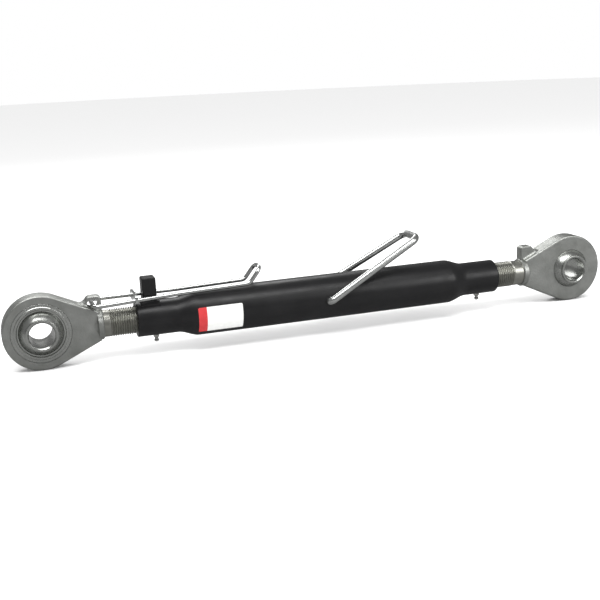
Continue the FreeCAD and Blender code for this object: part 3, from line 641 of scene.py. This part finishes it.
# %% Lock bail
WIRE, PIVOT_X, PIVOT_Z, KNEE_X, KNEE_Z = 2.75, 66.5, 27.8, 271.0, 33.2
ROOT_HALF, WAIST_X, BAIL_HALF = 24.5, 175.0, 14.0
TIP_X, TIP_Z, END_GAP = 286.8, 53.0, 1.5
BAIL_BENDS = [6.0, 60.0, 9.0, 9.0]


def bail_path():
    """The wire's middle line, from its end inside the ear round the U and back."""
    slope = (KNEE_Z - PIVOT_Z) / (KNEE_X - PIVOT_X)
    side = np.array(
        [
            (PIVOT_X, END_GAP / 2, PIVOT_Z),
            (PIVOT_X, ROOT_HALF, PIVOT_Z),
            (WAIST_X, BAIL_HALF, PIVOT_Z + slope * (WAIST_X - PIVOT_X)),
            (KNEE_X, BAIL_HALF, KNEE_Z),
            (TIP_X, BAIL_HALF, TIP_Z),
        ]
    )
    corners = np.vstack([side * (1, -1, 1), side[::-1]])
    return rounded_run(corners, BAIL_BENDS + BAIL_BENDS[::-1], 12)


path, sizes = with_soft_ends(bail_path(), WIRE, 0.5)
skin("bail_wire", swept(path, sizes, (0, 0, 1), 24), wire_zinc, "bail", ["lock_bail"], caps=True)

# %% [markdown]
# ## Grease nipples
# A nipple is a small turned fitting with six flats for a spanner. It is turned like the rest, and
# where the flats are, the radius is divided by the cosine of the angle from the middle of the
# nearest flat, which is what makes a circle a hexagon. A trim keeps its corners near the circle.

# %% Nipple surface
HEXAGON_TRIM = 0.93
NIPPLE_OUTLINE = [
    # height below the barrel's axis, radius, share of hexagon
    (18.7, 2.9, 0),
    (22.8, 2.9, 0),
    (22.8, 3.45, 1),
    (23.1, 3.75, 1),
    (25.6, 3.75, 1),
    (26.1, 3.4, 1),
    (26.2, 3.0, 0),
    (27.2, 2.35, 0),
    (28.8, 2.3, 0),
    (29.6, 3.15, 0),
    (31.0, 3.2, 0),
    (31.6, 2.6, 0),
    (32.3, 1.35, 0),
    (32.4, 1.0, 0),
    (32.1, 0.9, 0),
]


def nipple_grid(x, count=48):
    """The outline turned about a vertical line; flats multiply the radius by trim / cos(off)."""
    depth, radius, flats = (np.array(v)[:, None] for v in zip(*NIPPLE_OUTLINE))
    t = np.linspace(0, 2 * np.pi, count, endpoint=False)[None, :]
    off = (t + np.pi / 6) % (np.pi / 3) - np.pi / 6
    hexagon = 1 / np.cos(off) * HEXAGON_TRIM
    r = radius * (1 + flats * (hexagon - 1))
    return np.stack([x + r * np.cos(t), r * np.sin(t), -depth + 0 * t], -1)


for side_name, x in (("left", 145.0), ("right", 609.0)):
    skin(
        f"{side_name}_nipple_body",
        nipple_grid(x),
        fitting_zinc,
        "barrel",
        [f"{side_name}_grease_nipple"],
        caps=True,
        crease=28,
    )

# %% [markdown]
# ## The label
# A paper label with a red end is wrapped on the front of the barrel. Whatever is printed on such
# labels belongs to a maker, so this one stays blank. It is a thin closed sheet bent to the
# barrel's radius. A vertex attribute holds each point's place on the sheet, and the finish reads
# the red band from it.

# %% Label surface
LABEL_START, LABEL_LENGTH, LABEL_UP, LABEL_DOWN = 197.0, 59.0, 23.0, -45.0
LABEL_GAP, LABEL_THICKNESS, LABEL_CORNER, BAND = 0.03, 0.18, 1.4, 11.3


def label_grid(columns=60, rows=36):
    """Once round the sheet: (x, radius, angle) with x pulled in near the top and bottom edges.

    Near an edge the pull is corner - sqrt(corner^2 - (corner - distance)^2), a rounded corner.
    """
    low, high = math.radians(LABEL_DOWN), math.radians(LABEL_UP)
    angle = np.linspace(low, high, rows)[:, None]
    radius_mid = TUBE_RADIUS + LABEL_GAP + LABEL_THICKNESS / 2
    edge = np.minimum(angle - low, high - angle) * radius_mid
    short = np.clip(LABEL_CORNER - edge, 0, LABEL_CORNER)
    pull = LABEL_CORNER - np.sqrt(LABEL_CORNER**2 - short**2)
    share = np.linspace(0, 1, columns)[None, :]
    along = pull + share * (LABEL_LENGTH - 2 * pull)
    out = np.full(along.shape, TUBE_RADIUS + LABEL_GAP + LABEL_THICKNESS)
    under = np.full(along.shape, TUBE_RADIUS + LABEL_GAP)
    along = np.hstack([along, along[:, ::-1]])
    radius = np.hstack([out, under])
    angle = angle + 0 * radius
    points = np.stack(
        [LABEL_START + along, -radius * np.cos(angle), radius * np.sin(angle)], -1
    )
    return points, along, (angle - low) * radius_mid


def label_paper():
    """Coated white paper with a red end band, faintly uneven."""
    material, tree, shader, where = new_finish("label_paper")
    spot = add_node(tree, "ShaderNodeAttribute", attribute_name="label_place").outputs["Vector"]
    across = add_node(tree, "ShaderNodeSeparateXYZ", {"Vector": spot}).outputs["X"]
    is_white = ramp(tree, across, 0, 1, BAND - 0.15, BAND + 0.15)
    fibres = ramp(tree, noise(tree, where, 160, 4), 0, 1)
    red = blend_colour(tree, fibres, (0.46, 0.018, 0.022), (0.52, 0.026, 0.030))
    white = blend_colour(tree, fibres, (0.66, 0.665, 0.65), (0.72, 0.725, 0.71))
    tree.links.new(blend_colour(tree, is_white, red, white), shader.inputs["Base Color"])
    tree.links.new(ramp(tree, noise(tree, where, 90, 3), 0.38, 0.5), shader.inputs["Roughness"])
    bump(tree, shader, noise(tree, where, 110, 3), 0.00008)
    return material


points, along, upward = label_grid()
label = skin("blank_label", points, label_paper(), "barrel", ["label"], caps=True, crease=40)
spots = np.zeros((len(label.data.vertices), 3), np.float32)
spots[: along.size, 0], spots[: along.size, 1] = along.ravel(), upward.ravel()
label.data.attributes.new("label_place", "FLOAT_VECTOR", "POINT").data.foreach_set(
    "vector", spots.ravel()
)
